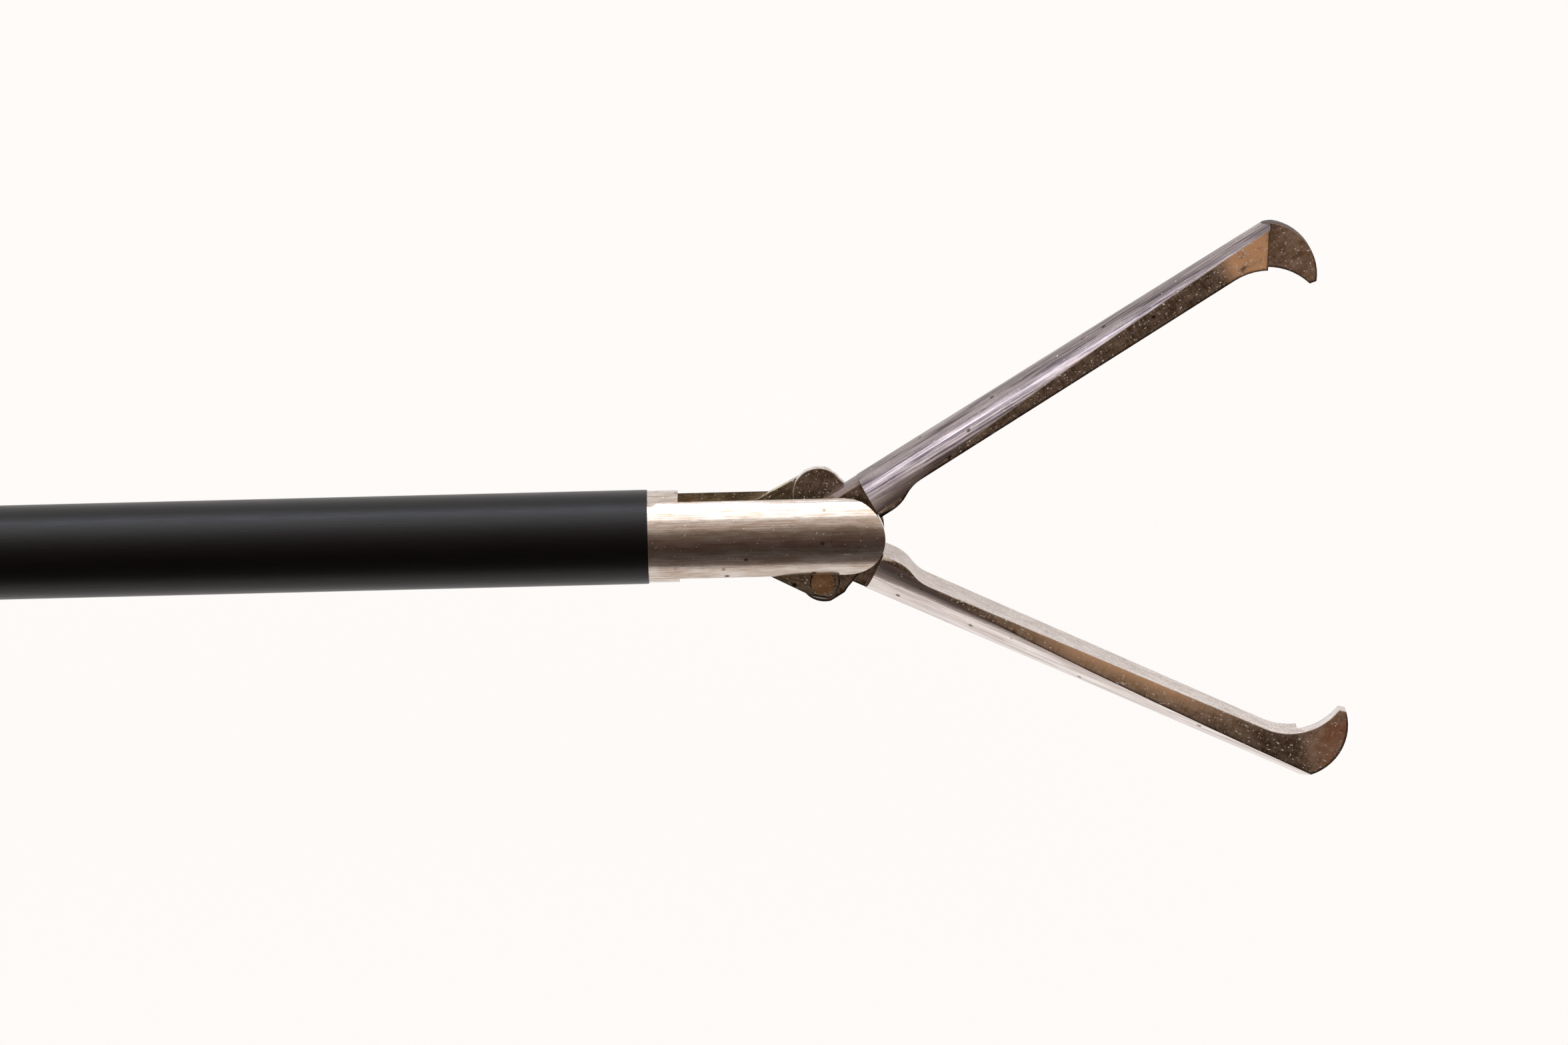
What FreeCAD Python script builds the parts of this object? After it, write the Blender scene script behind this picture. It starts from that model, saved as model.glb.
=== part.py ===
import FreeCAD, Part

import math
import os

import Sketcher
from FreeCAD import Placement, Rotation, Vector

# Laparoscopic claw grasper, 5 mm, double action.
# Frame: +X runs along the shaft to the tip, +Z points out of the jaws' near side, and the handle hangs
# towards -Y. The origin is on the shaft's axis at the distal end of the insulating sleeve.
# The jaws stand open at rest. All sizes are in millimetres and degrees.

doc = FreeCAD.newDocument("grasper")
sheet = doc.addObject("Spreadsheet::Sheet", "sizes")


# Sizes

class Size:
    """A number that carries the sheet formula it comes from."""

    def __init__(self, value, formula):
        self.value = value
        self.formula = formula

    def joined(self, other, value, sign):
        return Size(value, f"({self.formula} {sign} {other.formula})")

    def __add__(self, other):
        other = sized(other)
        return self.joined(other, self.value + other.value, "+")

    def __sub__(self, other):
        other = sized(other)
        return self.joined(other, self.value - other.value, "-")

    def __mul__(self, other):
        other = sized(other)
        return self.joined(other, self.value * other.value, "*")

    def __truediv__(self, other):
        other = sized(other)
        return self.joined(other, self.value / other.value, "/")

    def __radd__(self, other):
        return sized(other) + self

    def __rsub__(self, other):
        return sized(other) - self

    def __rmul__(self, other):
        return sized(other) * self

    def __neg__(self):
        return Size(-self.value, f"(-{self.formula})")


def sized(number):
    """Turns a plain number into a Size."""
    if isinstance(number, Size):
        return number
    if number < 0:
        return Size(number, f"({number})")
    return Size(number, f"{number}")


def size(name, value):
    """Writes one driving dimension into the sheet."""
    row = len(sheet.getUsedCells()) // 2 + 1
    sheet.set(f"A{row}", name.replace("_", " "))
    sheet.set(f"B{row}", str(value))
    sheet.setAlias(f"B{row}", name)
    return Size(value, f"sizes.{name}")


def cos(angle):
    return Size(math.cos(math.radians(angle.value)), f"cos({angle.formula})")


def sin(angle):
    return Size(math.sin(math.radians(angle.value)), f"sin({angle.formula})")


def tan(angle):
    return Size(math.tan(math.radians(angle.value)), f"tan({angle.formula})")


def root(number):
    return Size(math.sqrt(number.value), f"sqrt({number.formula})")


def arcsine(number):
    return Size(math.degrees(math.asin(number.value)), f"asin({number.formula})")


# Fits
seat_play = size("seat_play", 0.01)
running_play = size("running_play", 0.05)
rivet_play = size("rivet_play", 0.16)
layer_gap = size("layer_gap", 0.04)
jaw_gap = size("jaw_gap", 0.06)
claw_gap = size("claw_gap", 0.1)
port_radius = size("port_radius", 2.68)

# Shaft
sleeve_radius = size("sleeve_radius", 2.5)
sleeve_wall = size("sleeve_wall", 0.28)
sleeve_length = size("sleeve_length", 330.0)
tube_wall = size("tube_wall", 0.35)
yoke_radius = size("yoke_radius", 2.48)
yoke_core_radius = size("yoke_core_radius", 2.44)
yoke_lead_length = size("yoke_lead_length", 0.6)
yoke_lead_drop = size("yoke_lead_drop", 0.004)
yoke_shoulder = size("yoke_shoulder", 1.62)
yoke_spigot = size("yoke_spigot", 8.0)
cheek_end_radius = size("cheek_end_radius", 2.04)
pivot_reach = size("pivot_reach", 10.5)
pivot_pin_radius = size("pivot_pin_radius", 0.8)
pivot_pin_sunk = size("pivot_pin_sunk", 0.02)
rod_radius = size("rod_radius", 1.0)

# Linkage
tang_thick = size("tang_thick", 0.68)
link_thick = size("link_thick", 0.6)
crank_length = size("crank_length", 2.8)
crank_open = size("crank_open", 62.0)
jaw_open = size("jaw_open", 28.0)
link_length = size("link_length", 5.4)
upper_jaw_open = size("upper_jaw_open", 31.0)
lower_jaw_open = size("lower_jaw_open", 25.0)
link_end_radius = size("link_end_radius", 0.9)
rivet_radius = size("rivet_radius", 0.62)
rod_pin_radius = size("rod_pin_radius", 0.5)
rod_tip_radius = size("rod_tip_radius", 1.15)
rod_tip_back = size("rod_tip_back", 1.3)
rod_tip_shank = size("rod_tip_shank", 3.5)
tang_hub_radius = size("tang_hub_radius", 1.9)
tang_head_radius = size("tang_head_radius", 1.36)
tang_head_back = size("tang_head_back", 2.18)
tang_head_drop = size("tang_head_drop", 1.3)
tang_skin = size("tang_skin", 0.16)

# Jaws
jaw_radius = size("jaw_radius", 2.3)
jaw_face_depth = size("jaw_face_depth", 0.6)
jaw_start = size("jaw_start", 2.12)
jaw_neck_start = size("jaw_neck_start", 0.2)
hump_end = size("hump_end", 2.9)
hump_foot = size("hump_foot", 5.0)
taper_start = size("taper_start", 4.0)
taper_start_width = size("taper_start_width", 4.5)
taper_end_set_back = size("taper_end_set_back", 2.77)
taper_end_width = size("taper_end_width", 2.7)
claw_reach = size("claw_reach", 28.77)
claw_back_radius = size("claw_back_radius", 2.78)
claw_back_drop = size("claw_back_drop", 0.17)
claw_face_radius = size("claw_face_radius", 3.3)
claw_face_set_back = size("claw_face_set_back", 4.21)
claw_tip_drop = size("claw_tip_drop", 1.95)
claw_tip_width = size("claw_tip_width", 0.08)
claw_bevel_set_back = size("claw_bevel_set_back", 2.56)
claw_bevel_run = size("claw_bevel_run", 1.76)

# Rotation knob
knob_length = size("knob_length", 26.0)
knob_radius = size("knob_radius", 11.0)
knob_nose_radius = size("knob_nose_radius", 5.5)
knob_flute_radius = size("knob_flute_radius", 3.6)
knob_flute_reach = size("knob_flute_reach", 13.0)
knob_flutes = size("knob_flutes", 8)
knob_shoulder_drop = size("knob_shoulder_drop", 1.5)
knob_edge_radius = size("knob_edge_radius", 1.2)
set_screw_length = size("set_screw_length", 5.0)
screw_radius = size("screw_radius", 1.25)
collar_radius = size("collar_radius", 5.0)
collar_flange_radius = size("collar_flange_radius", 7.0)
collar_flange_width = size("collar_flange_width", 2.0)
collar_length = size("collar_length", 9.0)
seal_width = size("seal_width", 2.0)
collar_bore_play = size("collar_bore_play", 0.4)

# Handle
handle_gap = size("handle_gap", 0.6)
barrel_radius = size("barrel_radius", 9.0)
barrel_length = size("barrel_length", 43.0)
handle_half_width = size("handle_half_width", 5.0)
lever_half_width = size("lever_half_width", 2.5)
lever_set_back = size("lever_set_back", 27.4)
lever_swing = size("lever_swing", 15.5)
lever_lean = size("lever_lean", 35.3)
lever_length = size("lever_length", 69.2)
lever_hub_radius = size("lever_hub_radius", 4.6)
lever_limb_width = size("lever_limb_width", 9.0)
lever_pin_radius = size("lever_pin_radius", 2.0)
lever_pin_length = size("lever_pin_length", 12.6)
ball_radius = size("ball_radius", 2.0)
fork_wall = size("fork_wall", 2.0)
ring_wall = size("ring_wall", 4.0)
thumb_ring_radius = size("thumb_ring_radius", 11.0)
finger_ring_radius = size("finger_ring_radius", 10.0)
finger_ring_straight = size("finger_ring_straight", 8.0)
finger_ring_drop = size("finger_ring_drop", 64.0)
finger_ring_ahead = size("finger_ring_ahead", 14.0)
limb_width = size("limb_width", 13.0)
limb_shoulder_drop = size("limb_shoulder_drop", 8.0)
limb_front_inset = size("limb_front_inset", 2.0)
limb_back_flare = size("limb_back_flare", 3.0)
room_play = size("room_play", 0.3)
room_back_wall = size("room_back_wall", 5.0)
room_height = size("room_height", 6.0)
room_floor = size("room_floor", 3.0)
room_hub_play = size("room_hub_play", 0.8)
room_step = size("room_step", 2.0)
screw_blind_wall = size("screw_blind_wall", 1.0)
screw_end_play = size("screw_end_play", 0.2)
front_screw_set_back = size("front_screw_set_back", 5.0)
front_screw_rise = size("front_screw_rise", 7.5)
back_screw_inset = size("back_screw_inset", 3.0)
back_screw_rise = size("back_screw_rise", 5.2)
limb_screw_inside_rack = size("limb_screw_inside_rack", 7.0)
limb_screw_under_trigger = size("limb_screw_under_trigger", 7.5)
limb_screw_set_back = size("limb_screw_set_back", 1.0)
post_set_back = size("post_set_back", 3.0)
post_root_step = size("post_root_step", 0.5)
fork_top_wall = size("fork_top_wall", 0.8)
fork_floor_play = size("fork_floor_play", 0.6)
rod_way_play = size("rod_way_play", 0.3)
lever_neck_length = size("lever_neck_length", 13.0)
post_radius = size("post_radius", 2.0)
post_length = size("post_length", 14.0)

# Ratchet
rack_radius = size("rack_radius", 30.0)
rack_half_height = size("rack_half_height", 1.4)
rack_half_width = size("rack_half_width", 1.4)
rack_end_angle = size("rack_end_angle", 300.0)
tooth_pitch_angle = size("tooth_pitch_angle", 2.0)
tooth_depth = size("tooth_depth", 0.6)
rack_teeth = 9
trigger_pin_radius = size("trigger_pin_radius", 1.0)
trigger_play = size("trigger_play", 0.3)
trigger_ahead = size("trigger_ahead", 14.0)
trigger_under_rack = size("trigger_under_rack", 3.0)
trigger_length = size("trigger_length", 17.0)
spring_set_back = size("spring_set_back", 4.0)
spring_top_drop = size("spring_top_drop", 2.4)
rack_room_start = size("rack_room_start", 258.0)
rack_room_end = size("rack_room_end", 330.0)
rack_root_start = size("rack_root_start", 233.0)
rack_root_end = size("rack_root_end", 262.0)
rack_root_play = size("rack_root_play", 0.1)
rack_tip_angle = size("rack_tip_angle", 9.0)
spring_radius = size("spring_radius", 1.1)
spring_wire_radius = size("spring_wire_radius", 0.18)
spring_length = size("spring_length", 5.0)
spring_pitch = size("spring_pitch", 0.9)
doc.recompute()

# Worked out from the driving sizes
tube_radius = sleeve_radius - sleeve_wall - seat_play
tube_bore = tube_radius - tube_wall
spigot_radius = tube_bore - seat_play
rod_bore = rod_radius + running_play
pivot_x = pivot_reach
tang_low = layer_gap / 2
tang_high = tang_low + tang_thick
link_low = tang_high + layer_gap
link_high = link_low + link_thick
slot_half = link_high + layer_gap
crank_closed = crank_open - jaw_open
crank_rise_open = crank_length * sin(crank_open)
crank_rise_closed = crank_length * sin(crank_closed)
link_angle_open = arcsine(crank_rise_open / link_length)
link_angle_closed = arcsine(crank_rise_closed / link_length)
rod_pin_open = -crank_length * cos(crank_open) - link_length * cos(link_angle_open)
rod_pin_closed = -crank_length * cos(crank_closed) - link_length * cos(link_angle_closed)
rod_stroke = rod_pin_open - rod_pin_closed
rod_pin_x = pivot_x + rod_pin_open
knob_nose_x = -sleeve_length
knob_back_x = knob_nose_x - knob_length
handle_x = knob_back_x - handle_gap
half_swing = lever_swing / 2
lever_arm = rod_stroke / 2 / tan(half_swing)
lever_x = handle_x - lever_set_back
lever_y = -lever_arm
ball_x = lever_x + rod_stroke / 2
taper_end = claw_reach - taper_end_set_back
claw_face_along = claw_reach - claw_face_set_back
claw_face_across = claw_face_radius - jaw_face_depth
claw_bevel_along = claw_reach - claw_bevel_set_back
axis_turns = {
    "x": Rotation(Vector(0, 1, 0), 90),
    "y": Rotation(Vector(1, 0, 0), -90),
    "z": Rotation(),
}


# Tools of the model

def bind(thing, name, amount):
    """Ties a property to the sheet."""
    thing.setExpression(name, sized(amount).formula)


def put(thing, x=0, y=0, z=0, turn=None):
    """Ties a position, and a turn about Z, to the sheet."""
    for name, amount in (("x", x), ("y", y), ("z", z)):
        bind(thing, f"Placement.Base.{name}", amount)
    if turn is not None:
        thing.Placement.Rotation = Rotation(Vector(0, 0, 1), sized(turn).value)
        bind(thing, "Placement.Rotation.Angle", turn)


def put_flipped(thing, x, turn):
    """Turns a piece over about its own length and sets that length at an angle to the shaft."""
    half = turn / 2
    direction = Vector(cos(half).value, sin(half).value, 0)
    thing.Placement = Placement(Vector(sized(x).value, 0, 0), Rotation(direction, 180))
    bind(thing, "Placement.Base.x", x)
    bind(thing, "Placement.Rotation.Axis.x", cos(half))
    bind(thing, "Placement.Rotation.Axis.y", sin(half))


def cylinder(name, radius, length, at=(0, 0, 0), along="x"):
    thing = doc.addObject("Part::Cylinder", name)
    bind(thing, "Radius", radius)
    bind(thing, "Height", length)
    thing.Placement = Placement(Vector(), axis_turns[along])
    put(thing, *at)
    return thing


def bar_with_lead(name, radius, length):
    """A round bar along X whose first stretch tapers in a little, so that it slips into place."""
    lead = doc.addObject("Part::Cone", name + "Lead")
    bind(lead, "Radius1", radius - yoke_lead_drop)
    bind(lead, "Radius2", radius)
    bind(lead, "Height", yoke_lead_length)
    lead.Placement = Placement(Vector(), axis_turns["x"])
    bar = cylinder(name + "Bar", radius, length - yoke_lead_length, (yoke_lead_length, 0, 0))
    return fuse(name, lead, bar)


def block(name, low, high, turn=None, at=None):
    """A box between two corners, which a turn swings about the point given."""
    thing = doc.addObject("Part::Box", name)
    for side, a, b in zip(("Length", "Width", "Height"), low, high):
        bind(thing, side, sized(b) - a)
    if turn is None:
        put(thing, *low)
        return thing
    x = at[0] + low[0] * cos(turn) - low[1] * sin(turn)
    y = at[1] + low[0] * sin(turn) + low[1] * cos(turn)
    put(thing, x, y, low[2], turn)
    return thing


def ball(name, radius, at):
    thing = doc.addObject("Part::Sphere", name)
    bind(thing, "Radius", radius)
    put(thing, *at)
    return thing


def arc_middle(start, end, radius, turn):
    """The middle of the shorter arc from start to end, counterclockwise where turn is 1."""
    chord = end - start
    left = Vector(-chord.y, chord.x, 0).normalize()
    rise = math.sqrt(max(radius * radius - chord.Length ** 2 / 4, 0))
    return (start + end) / 2 + left * turn * (rise - radius)


def draw(sketch, corners):
    """Draws a closed outline of corners (x, y). A corner (x, y, radius, turn) starts an arc."""
    spots = [Vector(sized(c[0]).value, sized(c[1]).value, 0) for c in corners]
    count = len(corners)
    for i, corner in enumerate(corners):
        start = spots[i]
        end = spots[(i + 1) % count]
        if len(corner) == 2:
            sketch.addGeometry(Part.LineSegment(start, end))
        else:
            middle = arc_middle(start, end, sized(corner[2]).value, corner[3])
            first, last = (start, end) if corner[3] == 1 else (end, start)
            sketch.addGeometry(Part.Arc(first, middle, last))

    def ends(i):
        """The sketcher's numbers for an edge's first and last point: its arcs all run counterclockwise."""
        return (2, 1) if len(corners[i]) > 2 and corners[i][3] == -1 else (1, 2)

    for i in range(count):
        after = (i + 1) % count
        sketch.addConstraint(Sketcher.Constraint("Coincident", i, ends(i)[1], after, ends(after)[0]))
    for i, corner in enumerate(corners):
        for kind, amount, value in (("DistanceX", corner[0], spots[i].x), ("DistanceY", corner[1], spots[i].y)):
            row = sketch.addConstraint(Sketcher.Constraint(kind, -1, 1, i, ends(i)[0], value))
            bind(sketch, f"Constraints[{row}]", amount)
        if len(corner) == 2:
            continue
        chord = spots[(i + 1) % count] - spots[i]
        if chord.Length < 2 * sized(corner[2]).value - 1e-6:
            row = sketch.addConstraint(Sketcher.Constraint("Radius", i, sized(corner[2]).value))
            bind(sketch, f"Constraints[{row}]", corner[2])
            continue
        # A half circle is held by its centre, which lies level with its ends.
        level = 0 if abs(chord.x) < abs(chord.y) else 1
        kind = ("DistanceX", "DistanceY")[level]
        row = sketch.addConstraint(Sketcher.Constraint(kind, -1, 1, i, 3, spots[i][level]))
        bind(sketch, f"Constraints[{row}]", corner[level])


def plate(name, corners, low, high, x=0, y=0, turn=None):
    """An outline in the plane of the jaws, raised from one height to another."""
    sketch = doc.addObject("Sketcher::SketchObject", name + "_outline")
    draw(sketch, corners)
    put(sketch, x, y, low, turn)
    thing = doc.addObject("Part::Extrusion", name)
    thing.Base = sketch
    thing.DirMode = "Normal"
    thing.Solid = True
    bind(thing, "LengthFwd", sized(high) - low)
    return thing


def common(name, *shapes):
    thing = doc.addObject("Part::MultiCommon", name)
    thing.Shapes = list(shapes)
    return thing


def fuse(name, *shapes):
    thing = doc.addObject("Part::MultiFuse", name)
    thing.Shapes = list(shapes)
    thing.Refine = True
    return thing


def cut(name, base, *tools):
    thing = doc.addObject("Part::Cut", name)
    thing.Base = base
    thing.Tool = tools[0] if len(tools) == 1 else fuse(name + "_tools", *tools)
    thing.Refine = True
    return thing


def new_body(name):
    return doc.addObject("PartDesign::Body", name)


def body_sketch(body, role, name):
    """A sketch on one of the body's own origin planes."""
    sketch = body.newObject("Sketcher::SketchObject", name)
    plane = [f for f in body.Origin.OriginFeatures if f.Role == role][0]
    sketch.AttachmentSupport = [(plane, "")]
    sketch.MapMode = "FlatFace"
    return sketch


def turned(name, corners):
    """A body turned about the shaft's axis from an outline above it."""
    body = new_body(name)
    sketch = body_sketch(body, "XY_Plane", name + "_section")
    draw(sketch, corners)
    spin = body.newObject("PartDesign::Revolution", name + "_turn")
    spin.Profile = sketch
    spin.ReferenceAxis = (sketch, ["H_Axis"])
    spin.Angle = 360
    return body


def stadium(radius, low, high):
    """The outline of a bar with round ends, along X from centre to centre."""
    return [
        (low, -radius),
        (high, -radius, radius, 1),
        (high, radius),
        (low, radius, radius, 1),
    ]


def upright_stadium(radius, middle_x, low, high):
    return [
        (middle_x + radius, low),
        (middle_x + radius, high, radius, 1),
        (middle_x - radius, high),
        (middle_x - radius, low, radius, 1),
    ]


pieces = []


def keep(label, thing):
    thing.Label = label
    pieces.append(thing)
    return thing


# Sleeve, tube and yoke

def ring_along_x(name, outer, bore, x_low, x_high):
    return turned(name, [(x_low, bore), (x_high, bore), (x_high, outer), (x_low, outer)])


def make_shaft():
    keep("insulation_sleeve",
         ring_along_x("Sleeve", sleeve_radius, sleeve_radius - sleeve_wall, -sleeve_length, 0))
    keep("outer_tube", ring_along_x("Tube", tube_radius, tube_bore, knob_back_x - collar_length / 2, 0))


def make_yoke():
    """Two cheeks, which end round about the jaws' pivot, on a short core."""
    reach = pivot_x + cheek_end_radius
    bar = bar_with_lead("YokeOuter", yoke_radius, reach)
    core_round = bar_with_lead("YokeCoreRound", yoke_core_radius, yoke_shoulder)
    core_block = block("YokeCoreBlock", (0, -yoke_radius, -slot_half), (yoke_shoulder, yoke_radius, slot_half))
    side = plate("YokeSide", [
        (0, -yoke_radius),
        (pivot_x, -yoke_radius),
        (pivot_x, -cheek_end_radius, cheek_end_radius, 1),
        (pivot_x, cheek_end_radius),
        (pivot_x, yoke_radius),
        (0, yoke_radius),
    ], -yoke_radius, yoke_radius)
    spigot = cylinder("YokeSpigot", spigot_radius, yoke_spigot, (-yoke_spigot, 0, 0))
    slot = block("YokeSlot", (-1, -yoke_radius - 1, -slot_half), (reach + 1, yoke_radius + 1, slot_half))
    bore = cylinder("YokeBore", rod_bore, yoke_spigot + yoke_shoulder + 1, (-yoke_spigot - 0.5, 0, 0))
    pin_hole = cylinder("YokePinHole", pivot_pin_radius + seat_play, 2 * yoke_radius, (pivot_x, 0, -yoke_radius), "z")
    cheeks = cut("YokeCheeks", common("YokeRound", bar, side), slot)
    whole = fuse("YokeWhole", cheeks, common("YokeCore", core_round, core_block), spigot)
    keep("yoke", cut("Yoke", whole, bore, pin_hole))

    pin = cylinder("PivotPinBlank", pivot_pin_radius, 2 * yoke_radius, (pivot_x, 0, -yoke_radius), "z")
    ground = cylinder("PivotPinGround", yoke_radius - pivot_pin_sunk, 4 * pivot_pin_radius, (pivot_x - 2 * pivot_pin_radius, 0, 0))
    keep("jaw_pivot_pin", common("PivotPin", pin, ground))


# Jaws

def claw_back_point(y):
    """The point of the claw's round back at a height, about a centre on the closing plane's far side."""
    drop = y + claw_back_drop
    return claw_reach - claw_back_radius + root(claw_back_radius * claw_back_radius - drop * drop)


def claw_face_point(y):
    """The point of the claw's hollow face at a height."""
    rise = y + claw_face_across
    return claw_face_along + root(claw_face_radius * claw_face_radius - rise * rise)


def make_jaw(label):
    """One jaw, closed, with its pivot at the origin. The two jaws are the same piece turned over."""
    name = label.title().replace("_", "")
    over = jaw_radius + 0.2
    low = jaw_gap / 2
    hump_run = hump_foot - hump_end
    hump_rise = jaw_face_depth - low
    hump_radius = (hump_run * hump_run + hump_rise * hump_rise) / (4 * hump_rise)
    hump_middle = (hump_end + hump_run / 2, low + hump_rise / 2)
    tip_inside = claw_tip_width - claw_tip_drop
    side = plate(name + "Side", [
        (jaw_start, low),
        (hump_end, low, hump_radius, 1),
        (*hump_middle, hump_radius, -1),
        (hump_foot, jaw_face_depth),
        (claw_face_point(jaw_face_depth), jaw_face_depth, claw_face_radius, -1),
        (claw_face_point(tip_inside), tip_inside),
        (claw_back_point(-claw_tip_drop), -claw_tip_drop, claw_back_radius, 1),
        (claw_back_point(over), over),
        (jaw_start, over),
    ], -over, over)
    round_back = cylinder(name + "Back", jaw_radius, claw_reach + 1)
    slope = (taper_start_width - taper_end_width) / 2 / (taper_end - taper_start)
    wide = taper_start_width / 2 + slope * taper_start
    thin = taper_end_width / 2 - slope * (claw_reach + 1 - taper_end)
    plan = doc.addObject("Sketcher::SketchObject", name + "PlanOutline")
    draw(plan, [(0, -wide), (claw_reach + 1, -thin), (claw_reach + 1, thin), (0, wide)])
    plan.Placement = Placement(Vector(), Rotation(Vector(1, 0, 0), 90))
    taper = doc.addObject("Part::Extrusion", name + "Plan")
    taper.Base = plan
    taper.DirMode = "Normal"
    taper.Solid = True
    taper.Symmetric = True
    bind(taper, "LengthFwd", 4 * jaw_radius)
    beam = common(name + "Beam", side, round_back, taper)

    # The neck carries the jaw's back on between the yoke's cheeks.
    hub_side = tang_hub_radius * sin(sized(80))
    hub_front = tang_hub_radius * cos(sized(80))
    neck_side = plate(name + "NeckSide", [
        (0, 0),
        (jaw_start + 1, low),
        (jaw_start + 1, over),
        (jaw_neck_start, over),
        (-hub_front, hub_side),
    ], tang_low, tang_high)
    neck = common(name + "Neck", neck_side, cylinder(name + "NeckBack", jaw_radius, jaw_start + 3, (-2, 0, 0)))

    # The tang runs from the pivot to the rivet that its link pulls.
    rivet_x = -crank_length * cos(crank_closed)
    rivet_y = -crank_length * sin(crank_closed)
    lean = arcsine(tang_head_drop / root(tang_head_back * tang_head_back + tang_head_drop * tang_head_drop))
    across_x = tang_head_radius * sin(lean)
    across_y = tang_head_radius * cos(lean)
    head_high = (across_x * -1 - tang_head_back, across_y - tang_head_drop)
    head_end = (-tang_head_back - tang_head_radius * cos(lean), -tang_head_drop - tang_head_radius * sin(lean))
    head_low = (across_x - tang_head_back, -across_y - tang_head_drop)
    tang_side = plate(name + "TangSide", [
        (tang_hub_radius, 0),
        (tang_hub_radius * cos(sized(50)), tang_hub_radius * sin(sized(50)), tang_hub_radius, 1),
        (-tang_hub_radius * cos(sized(50)), tang_hub_radius * sin(sized(50))),
        (*head_high, tang_head_radius, 1),
        (*head_end, tang_head_radius, 1),
        head_low,
        (hub_front, -hub_side, tang_hub_radius, 1),
    ], tang_low, tang_high)
    tang = common(name + "Tang", tang_side, cylinder(name + "TangRound", port_radius, 3 * crank_length,
                                                     (-2 * crank_length, 0, 0)))
    pivot_hole = cylinder(name + "PivotHole", pivot_pin_radius + running_play, 2 * tang_high, (0, 0, -tang_high / 2), "z")
    rivet_hole = cylinder(name + "RivetHole", rivet_radius + rivet_play, 2 * tang_high,
                          (rivet_x, rivet_y, tang_low + tang_skin), "z")

    # Half of the width is cut away at the tip, where the other jaw's claw comes past.
    bevel = plate(name + "Bevel", [
        (claw_bevel_along, -over - 1),
        (claw_reach + 2, -over - 1),
        (claw_reach + 2, over),
        (claw_bevel_along + claw_bevel_run, over),
        (claw_bevel_along, 0),
    ], -claw_gap / 2, jaw_radius + 1)
    whole = fuse(name + "Whole", beam, neck, tang)
    return keep(label, cut(name, whole, pivot_hole, rivet_hole, bevel))


def make_jaws():
    upper = make_jaw("upper_jaw")
    put(upper, pivot_x, 0, 0, upper_jaw_open)
    lower = make_jaw("lower_jaw")
    put_flipped(lower, pivot_x, -lower_jaw_open)


# Links and rod

def make_links():
    for label in ("near_link", "far_link"):
        name = label.title().replace("_", "")
        bar = plate(name + "Bar", stadium(link_end_radius, 0, link_length), link_low, link_high)
        # The port's bore, as it lies to the link when the jaws are closed.
        port = cylinder(name + "Port", port_radius, 4 * link_length, (-2 * link_length, 0, 0))
        turned_port = doc.addObject("Part::Compound", name + "PortTurned")
        turned_port.Links = [port]
        put(turned_port, 0, 0, 0, link_angle_closed)
        pin_hole = cylinder(name + "PinHole", rod_pin_radius + running_play, 2 * link_high, (0, 0, 0), "z")
        rivet_hole = cylinder(name + "RivetHole", rivet_radius + seat_play, 2 * link_high, (link_length, 0, 0), "z")
        link = cut(name, common(name + "Round", bar, turned_port), pin_hole, rivet_hole)
        keep(label, link)
        rivet_x = pivot_x - crank_length * cos(crank_open)
        rivet_low = tang_low + tang_skin + layer_gap
        if label == "near_link":
            put(link, rod_pin_x, 0, 0, -link_angle_open)
            at = (rivet_x, -crank_rise_open, rivet_low)
        else:
            put_flipped(link, rod_pin_x, link_angle_open)
            at = (rivet_x, crank_rise_open, -link_high)
        keep(label + "_rivet", cylinder(name + "Rivet", rivet_radius, link_high - rivet_low, at, "z"))


def make_rod():
    """The rod, its flat tip with the links' pin, and the ball that the lever pulls."""
    tip_end = rod_pin_x - rod_tip_back
    rod_end = tip_end - rod_tip_shank
    flat = plate("RodTipFlat", [
        (tip_end, -rod_tip_radius),
        (rod_pin_x, -rod_tip_radius, rod_tip_radius, 1),
        (rod_pin_x, rod_tip_radius),
        (tip_end, rod_tip_radius),
    ], -tang_high, tang_high)
    shank = cylinder("RodTipShank", rod_radius, rod_tip_shank, (rod_end, 0, 0))
    stub = cylinder("RodTipStub", rod_radius / 2, rod_tip_shank, (rod_end - rod_tip_shank, 0, 0))
    pin_hole = cylinder("RodTipHole", rod_pin_radius + seat_play, 2 * link_high, (rod_pin_x, 0, -link_high), "z")
    keep("rod_tip", cut("RodTip", fuse("RodTipWhole", flat, shank, stub), pin_hole))
    keep("rod_pin", cylinder("RodPin", rod_pin_radius, 2 * link_high, (rod_pin_x, 0, -link_high), "z"))

    ball_face = ball_x + ball_radius + 1
    bar = cylinder("RodBar", rod_radius, rod_end - ball_face, (ball_face, 0, 0))
    socket = cylinder("RodSocket", rod_radius / 2 + seat_play, rod_tip_shank + 0.3, (rod_end - rod_tip_shank - 0.3, 0, 0))
    tap = cylinder("RodTap", rod_radius / 2 + seat_play, 4, (ball_face, 0, 0))
    keep("drive_rod", cut("Rod", bar, socket, tap))
    round_ball = ball("BallRound", ball_radius, (ball_x, 0, 0))
    neck = cylinder("BallNeck", rod_radius, ball_radius + 1, (ball_x, 0, 0))
    screw = cylinder("BallScrew", rod_radius / 2, 3.7, (ball_face, 0, 0))
    keep("rod_ball", fuse("Ball", round_ball, neck, screw))


# Rotation knob

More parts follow.
